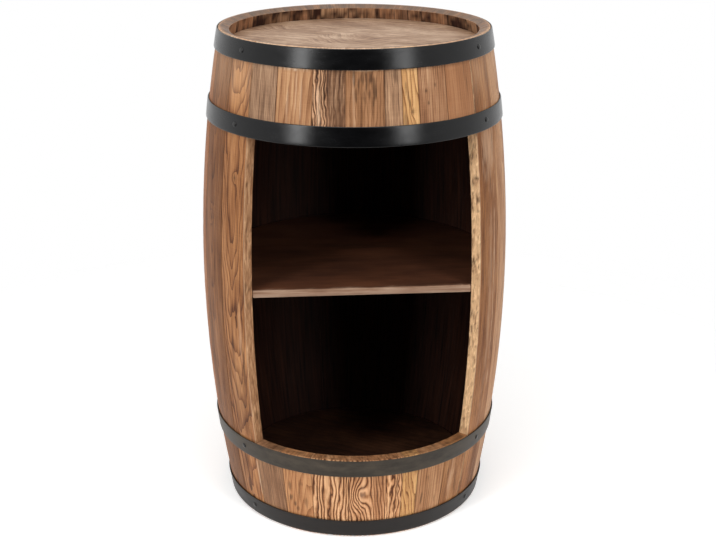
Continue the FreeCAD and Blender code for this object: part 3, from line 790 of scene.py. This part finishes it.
LOWER_WOODS = (
    wood("grey", (-120, 35), 3.4, 0.4, tint=(0.95, 0.89, 0.83), wave=(0.9, 12, 50), soiled=0.2,
         smudges=((-4, 60, 10, 40, 0.3),)),
    wood("tan", (25, 35), 4.6, 0.3, tint=(0.98, 0.94, 0.89), taper=0.1,
         smudges=((-14, 66, 4, 8, 0.9), (-8, 54, 3.4, 6, 0.8), (-15, 88, 3, 10, 0.7),
             (-3, 46, 4, 5, 0.7), (8, 96, 5, 9, 0.5), (13, 62, 3, 12, 0.6), (2, 72, 2, 16, 0.5))),
    wood("ridged", (-90, 25), 6.0, 2.2, tint=(0.97, 0.94, 0.91), sharp=1.3, wave=(0.8, 16, 46),
         taper=-0.05),
    wood("ridged", (-44, 12), 5.2, 1.7, tint=(0.95, 0.9, 0.86), sharp=1.2, taper=0.09,
         wave=(0.7, 15, 46), streaks=((-10, 86, 6, 22, 0.2),), knots=((-11, 82, 8.0),),
         knot_dark=0.1, swirl=3.0, bold_to=6.0, bold_rest=0.55),
    wood("ridged", (-60, 16), 6.6, 1.2, tint=(1.0, 0.96, 0.92), wave=(1.2, 12, 40),
         smudges=((5, 92, 1.4, 30, 0.8), (-6, 60, 1.6, 22, 0.7))),
    wood("gold", (-40, 24), 7.4, 1.1, tint=(1.04, 1.04, 1.03), taper=0.14, wave=(0.9, 14, 50),
         smudges=((13, 78, 1.6, 60, 0.8),)),
    wood("tan", (-170, 50), 4.6, 0.2, tint=(0.97, 0.96, 0.95), smudges=((4, 80, 12, 30, 0.2),
             (-15, 62, 3, 14, 0.7), (-6, 102, 5, 8, 0.45), (12, 52, 2, 12, 0.6))),
    wood("reddish", (150, 50), 4.0, 0.2, tint=(0.96, 0.98, 0.95), smudges=((9, 64, 3, 16, 0.5),
             (-14, 96, 2, 12, 0.6)), streaks=((-4, 80, 6, 50, 0.3),)),
)
# The staves beside the doorway: which joint is open, and their wood.
JAMB_WOODS = {
    "wall_stave_01": (-1, wood(
        "walnut", (110, 40), 4.6, 0.22, tint=(0.95, 0.97, 0.95), wave=(0.8, 18, 150),
        streaks=((16, 430, 2.5, 210, 0.5), (2, 380, 7, 190, 0.22), (4, 640, 24, 60, 0.4)),
        smudges=((22, 560, 1.4, 40, 0.7), (24, 500, 1.2, 26, 0.8), (-20, 300, 1.4, 60, 0.5),
                 (19, 640, 1.5, 16, 0.7)))),
    "wall_stave_18": (1, wood(
        "veined", (1, 13), 6.4, 0.5, tint=(0.96, 0.94, 0.91), taper=-0.1,
        wave=(1.7, 42, 170), knots=((3, 600, 3.5),), swirl=0.8,
        streaks=((25, 90, 3, 50, 0.7), (15, 340, 4, 60, 0.35)),
        smudges=((0, 215, 30, 90, 0.3), (-6, 330, 3, 60, 0.4), (20, 285, 1.6, 70, 0.95),
                 (24, 215, 1.4, 50, 0.9), (13, 240, 1.2, 46, 0.7)))),
}
WALL_CYCLE = ("walnut", "brown", "tan", "walnut", "smudged", "brown", "walnut", "reddish")
WALL_STAVES = 18
# The stave at the left edge, as the camera sees it, is tinted darker than the rest: painted shade
# on that side of the cask.
SHADED_STAVE, SHADE_TINT = 17, (0.87, 0.84, 0.8)
WALL_SEED, UPPER_SEED, LOWER_SEED = 41, 40, 50
# Steps between the points of a stave, across and up.
WALL_STEPS, JAMB_STEPS, FRONT_STEPS = (2.4, 8.0), (1.3, 4.0), (0.9, 2.6)


def wall_wood(number, chance):
    """One of the everyday woods of the closed wall, varied a little by chance."""
    plain = chance.random() < 0.6
    pith = (chance.uniform(120, 200) * chance.choice((-1, 1)), 50.0)
    if not plain:
        pith = (chance.uniform(-12, 12), chance.uniform(12, 20))
    knots = ()
    if chance.random() < 0.3:
        knots = ((chance.uniform(-14, 14), chance.uniform(150, 650), chance.uniform(4, 7)),)
    # Painted shade on the stave at the left edge.
    tint = SHADE_TINT if number == SHADED_STAVE else PLAIN_WOOD["tint"]
    spacing, groove = chance.uniform(3.0, 4.6), chance.uniform(0.15, 0.35)
    return wood(WALL_CYCLE[number % len(WALL_CYCLE)], pith, spacing, groove, tint=tint,
                knots=knots, taper=0.01 if plain else -0.055, wave=(0.8, 18, 140))


def make_staves():
    chance = np.random.default_rng(WALL_SEED)
    for number in range(1, WALL_STAVES + 1):
        node = "wall_stave_%02d" % number
        if node in JAMB_WOODS:
            open_side, kind = JAMB_WOODS[node]
            make_stave(node, kind, JAMB_STEPS, number, open_side)
        else:
            make_stave(node, wall_wood(number, chance), WALL_STEPS, number)
    for band, woods, seed in (("upper", UPPER_WOODS, UPPER_SEED),
                              ("lower", LOWER_WOODS, LOWER_SEED)):
        for number, kind in enumerate(woods, start=1):
            node = "%s_front_stave_%d" % (band, number)
            make_stave(node, kind, FRONT_STEPS, seed + number)


# ---- hoops

LAP_LENGTH = 58.0
LAP_AZIMUTH = math.pi
LAP_LIFT = HOOP_GAUGE + 0.1
# The rise of the lap over its own start, in radians before the lap.
LAP_RISE = (-0.11, -0.01)
HOOP_COLUMNS, HOOP_LAYERS = 300, 3
HOOP_ROW_STEP, HOOP_EASE, HOOP_EASE_DEPTH = 5.0, 1.2, 0.5
HOOP_DENTS = 0.16
RIVET_RADIUS, RIVET_HEIGHT, RIVET_WORN = 5.0, 2.0, 0.1
NAIL_RADIUS, NAIL_HEIGHT, NAIL_WORN = 4.0, 1.6, 0.03
DOME_SIDES = 20
# Outline of a low round head, from its foot to its top: shares of its radius and height.
DOME_RINGS = ((1.0, 0.25), (0.93, 0.55), (0.74, 0.82), (0.4, 0.97), (0.12, 1.0))
DOME_FOOT = 0.3
# The lower two hoops take the steels with painted light.
HOOPS = {"top_hoop": HOOP_STEEL, "upper_hoop": HOOP_STEEL, "lower_hoop": LOWER_STEEL_PAINTED_LIGHT,
         "bottom_hoop": BOTTOM_STEEL_PAINTED_LIGHT}
HOOP_SEED = 90


def dome(radius, height, azimuth, low, high, standing):
    """Low round head on the wall, in the middle of a hoop that spans two levels.

    standing is how far the hoop's outside stands off the wall. Gives points and faces.
    """
    angles = np.linspace(0, WHOLE_TURN, DOME_SIDES, endpoint=False)
    circle = np.column_stack([np.cos(angles), np.sin(angles)])
    rings = [(1.0, -DOME_FOOT, 0.0)]
    rings.extend((share, rise * height, 0.0) for share, rise in DOME_RINGS)
    points, faces = turned_shell(circle * radius, rings, np.zeros(2))
    middle = (low + high) / 2
    slope = float(wall_radius(high) - wall_radius(low)) / (high - low)
    outward = np.array([math.sin(azimuth), -math.cos(azimuth), -slope])
    outward = outward / np.linalg.norm(outward)
    turn = np.array(Vector(outward).to_track_quat("Z", "Y").to_matrix())
    centre = around(azimuth, float(wall_radius(middle)) + standing, middle) / MM
    return points @ turn.T + centre, faces


def joined(parts):
    """Several sets of points and faces as one."""
    points, faces = [], []
    for new_points, new_faces in parts:
        start = sum(len(group) for group in points)
        points.append(new_points)
        faces.extend([tuple(corner + start for corner in face) for face in new_faces])
    return np.concatenate(points), faces


def make_hoop(node, steel, seed):
    """Tapered band that runs once round and laps over its own start under two rivets."""
    noise = Noise(seed)
    low, high = levels(node)
    rows = spaced(high - low, HOOP_ROW_STEP, HOOP_EASE)
    radius = wall_radius((low + high) / 2)
    lap = LAP_LENGTH / radius
    angles = np.linspace(LAP_AZIMUTH - lap / 2, LAP_AZIMUTH + lap / 2 + WHOLE_TURN, HOOP_COLUMNS)
    places, quads = lattice_shell(len(angles), len(rows), HOOP_LAYERS)
    column, row, layer = places.T
    azimuth = angles[column]
    height = low + rows[row]
    to_edge = np.minimum(rows[row], (high - low) - rows[row])
    lapped = smooth_step(azimuth - LAP_AZIMUTH - WHOLE_TURN + lap / 2, *LAP_RISE)
    base = wall_radius(height) + HOOP_CLEARANCE + lapped * LAP_LIFT
    # Layer 0 is the outside and layer 2 the inside, so the edges are eased on both.
    outside = layer == 0
    dents = HOOP_DENTS * noise(azimuth * 9, height / 20) * outside
    eased = HOOP_EASE_DEPTH * near_edge(to_edge, HOOP_EASE) * (1 - layer)
    points = around(azimuth, base + HOOP_GAUGE * (1 - layer / 2) - np.abs(dents) - eased, height)
    worn = near_edge(to_edge, 1.4) * outside * (0.35 + 0.35 * noise(azimuth * 14, 3))
    grain = np.stack([azimuth * radius, height], axis=1) * MM
    rivets = [dome(RIVET_RADIUS, RIVET_HEIGHT, LAP_AZIMUTH + side * lap / 4, low, high,
                   HOOP_CLEARANCE + 2 * HOOP_GAUGE) for side in (-1, 1)]
    heads, head_faces = joined(rivets)
    points, faces = joined([(points, quads), (heads * MM, head_faces)])
    pale = np.concatenate([np.clip(worn, 0, 1), np.full(len(heads), RIVET_WORN)])
    grain = np.concatenate([grain, heads[:, :2] * MM])
    mesh_piece(node + "_band", points, faces, steel, (node,), {"pale": pale}, grain)


def make_hoop_nails():
    """Domed heads of the eight nails that hold the hoops beside the doorway."""
    parts = []
    for node in HOOPS:
        for stave in ("wall_stave_01", "wall_stave_18"):
            first, last, _, _ = stave_span(stave)
            parts.append(dome(NAIL_RADIUS, NAIL_HEIGHT, (first + last) / 2, *levels(node),
                              HOOP_CLEARANCE + HOOP_GAUGE))
    points, faces = joined(parts)
    mesh_piece("hoop_nail_heads", points * MM, faces, NAIL_STEEL,
               ("hoop_nails",), {"pale": np.full(len(points), NAIL_WORN)}, points[:, :2] * MM)


# ---- heads and shelf

DISC_SIDES = 144
FRONT_SIDES = 40
BOARD_GAP = 0.4
SHELF_GAP = 0.2
SHELF_SEED = 77
# Width of the shelf's pale front edge, from full to nothing, and how ragged it is.
SHELF_WORN = (1.5, 5.0)
SHELF_RAGGED = 1.6


def make_head(node):
    """Round board with eased edges, just clear of the wall that holds it."""
    low, high = levels(node)
    radius = min(wall_radius(low, THICKNESS), wall_radius(high, THICKNESS)) - BOARD_GAP
    rings = [(0.4, low, 0), (0.8, low, 0), (1, low, 1.5), (1, low + 1.5, 0),
             (1, high - 1.6, 0), (1, high - 0.6, 0.4), (1, high, 1.6), (0.8, high, 0),
             (0.4, high, 0)]
    angles = np.linspace(0, WHOLE_TURN, DISC_SIDES, endpoint=False)
    outline = np.column_stack([np.sin(angles), AXIS_Y / radius - np.cos(angles)]) * radius
    points, faces = turned_shell(outline, rings, AXIS)
    board = FLOOR_WOOD if node == "floor_board" else HEAD_WOOD
    mesh_piece(node + "_board", points * MM, faces, board, (node,))


def make_shelf():
    """Round board with a straight front, its front edge rounded and worn pale."""
    low, high = levels("shelf")
    corner_low, corner_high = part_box("shelf")
    front = corner_low.y / MM
    radius = corner_high.x / MM - SHELF_GAP
    turn = math.acos((AXIS_Y - front) / radius)
    arc = np.linspace(turn, WHOLE_TURN - turn, DISC_SIDES)
    back = np.column_stack([np.sin(arc), -np.cos(arc)]) * radius + AXIS
    outline = np.concatenate([back, np.linspace(back[-1], back[0], FRONT_SIDES)[1:-1]])
    rings = [(0.4, low, 0), (0.8, low, 0), (0.93, low, 0), (1, low, 2.4), (1, low + 0.7, 0.7),
             (1, low + 2, 0), (1, high - 2, 0), (1, high - 0.7, 0.7), (1, high, 2.4),
             (0.975, high, 0), (0.93, high, 0), (0.8, high, 0), (0.4, high, 0)]
    points, faces = turned_shell(outline, rings, AXIS)
    ragged = SHELF_RAGGED * Noise(SHELF_SEED)(points[:, 0] / 12, 0)
    pale = 1 - smooth_step(points[:, 1] - front + ragged, *SHELF_WORN)
    mesh_piece("shelf_board", points * MM, faces, SHELF_WOOD, ("shelf",),
               {"pale": pale})


def dress_cleats():
    """The cleats and their nails keep their CAD shapes, in stained wood and black steel."""
    for name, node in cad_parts.items():
        if "cleat" in name:
            node.data.materials.clear()
            node.data.materials.append(NAIL_STEEL if name == "cleat_nails" else SHELF_WOOD)


# ---- stage and light

# The floor, in metres: its rings of points, and the distances over which it fades away.
FLOOR_SIDES = 96
FLOOR_RINGS = (0.3, 0.8, 1.5, 3.0)
FLOOR_FADE = (0.42, 1.3)
FLOOR_COLOUR = (250, 250, 249)
FLOOR_GLOW = 0.3
WHITE = (1, 1, 1, 1)


def make_floor():
    """Pale floor that fades into the white background and keeps the cask's shadow."""
    points = [(0, 0, 0)]
    for ring in FLOOR_RINGS:
        points.extend((ring * math.cos(turn), ring * math.sin(turn), 0)
                      for turn in np.linspace(0, WHOLE_TURN, FLOOR_SIDES, endpoint=False))
    faces = []
    for side in range(FLOOR_SIDES):
        following = (side + 1) % FLOOR_SIDES
        faces.append((0, 1 + side, 1 + following))
        for ring in range(len(FLOOR_RINGS) - 1):
            low, high = 1 + ring * FLOOR_SIDES, 1 + (ring + 1) * FLOOR_SIDES
            faces.append((low + side, high + side, high + following, low + following))
    mesh = bpy.data.meshes.new("studio_floor")
    mesh.from_pydata(points, [], faces)
    shader = Shader("studio_floor")
    fade = shader.spread(shader.vector("LENGTH", shader.object_place()), *FLOOR_FADE)
    clear = shader.node("ShaderNodeBsdfTransparent")
    mixed = shader.mix_shaders(fade, shader.surface.outputs[0], clear.outputs[0])
    shader.put(shader.tree.nodes["Material Output"].inputs["Surface"], mixed)
    shader.put(shader.surface.inputs["Emission Color"], WHITE)
    shader.put(shader.surface.inputs["Emission Strength"], FLOOR_GLOW)
    mesh.materials.append(shader.finish(linear(FLOOR_COLOUR), 0.9, 0.1))
    floor = new_object("studio_floor", mesh)


# The photograph's azimuth in degrees, which the camera and the lamps share.
CAMERA_TURN = -4.4
LAMP_TARGET = (0, 0, 0.42)
# Lamps: degrees from the camera's azimuth, distance, height and size in metres, and watts.
SOFTBOXES = (
    ("left_box", -41, 2.4, 1.35, (0.5, 2.0), 33),
    ("right_box", 38, 2.4, 1.35, (0.6, 2.0), 24),
    ("top_box", 0, 1.0, 2.6, (1.8, 1.2), 22),
)


def add_softbox(name, azimuth, distance, height, size, power):
    """Square lamp at an azimuth from the camera's, aimed at the cask."""
    lamp = bpy.data.lights.new(name, "AREA")
    lamp.shape = "RECTANGLE"
    lamp.size, lamp.size_y = size
    lamp.energy = power
    box = new_object(name, lamp)
    turn = math.radians(CAMERA_TURN + azimuth)
    box.location = (distance * math.sin(turn), -distance * math.cos(turn), height)
    aim = Vector(LAMP_TARGET) - box.location
    box.rotation_euler = aim.to_track_quat("-Z", "Y").to_euler()


# The room is dim in front of the cask, so that its black hoops stay black.
WORLD_LIGHT = 0.58
FRONT_LIGHT = 0.01
FRONT_DIRECTION = (-0.08, -0.98, -0.18)
FRONT_EDGE = (0.25, 0.9)


def make_light():
    """Room light, the white background and the lamps."""
    world = bpy.data.worlds.new("studio")
    bpy.context.scene.world = world
    shader = Shader("studio", world)
    direction = shader.node("ShaderNodeTexCoord").outputs["Generated"]
    front = shader.vector("DOT_PRODUCT", direction, FRONT_DIRECTION)
    room, mirrored = [shader.spread(front, *FRONT_EDGE, strength, FRONT_LIGHT, "SMOOTHSTEP")
                      for strength in (WORLD_LIGHT, 1.0)]
    # Camera, glass and metal all see the white background; metal sees the dim front too.
    path = shader.node("ShaderNodeLightPath").outputs
    direct = shader.math("MAXIMUM", path["Is Camera Ray"], path["Is Transmission Ray"])
    lit = shader.tree.nodes["Background"]
    white = shader.node("ShaderNodeBackground")
    for source, strength in ((lit, room), (white, shader.math("MAXIMUM", direct, mirrored))):
        shader.feed(source, WHITE, strength)
    mixed = shader.mix_shaders(shader.math("MAXIMUM", direct, path["Is Glossy Ray"]),
                               lit.outputs[0], white.outputs[0])
    shader.put(shader.tree.nodes["World Output"].inputs["Surface"], mixed)
    for softbox in SOFTBOXES:
        add_softbox(*softbox)


# ---- camera

# Fitted to the photograph: lens in pixels, then metres and degrees.
FOCAL_PIXELS = 1304.4
PICTURE_WIDTH = 716
SENSOR = 36.0
CAMERA_DISTANCE = 2.0993
CAMERA_HEIGHT = 1.1499
CAMERA_PITCH = 19.889
CAMERA_YAW = 0.161


def make_camera():
    lens = bpy.data.cameras.new("photo_camera")
    lens.sensor_width = SENSOR
    lens.lens = FOCAL_PIXELS * SENSOR / PICTURE_WIDTH
    camera = new_object("photo_camera", lens)
    turn = math.radians(CAMERA_TURN)
    camera.location = (CAMERA_DISTANCE * math.sin(turn),
                       AXIS_Y * MM - CAMERA_DISTANCE * math.cos(turn), CAMERA_HEIGHT)
    camera.rotation_euler = (math.radians(90 - CAMERA_PITCH), 0,
                             math.radians(CAMERA_TURN - CAMERA_YAW))
    bpy.context.scene.camera = camera


make_staves()
for hoop_number, (hoop_node, steel) in enumerate(HOOPS.items()):
    make_hoop(hoop_node, steel, HOOP_SEED + hoop_number)
make_hoop_nails()
make_head("top_head")
make_head("floor_board")
make_shelf()
dress_cleats()
make_floor()
make_light()
make_camera()
bpy.context.scene.view_settings.view_transform = "Standard"
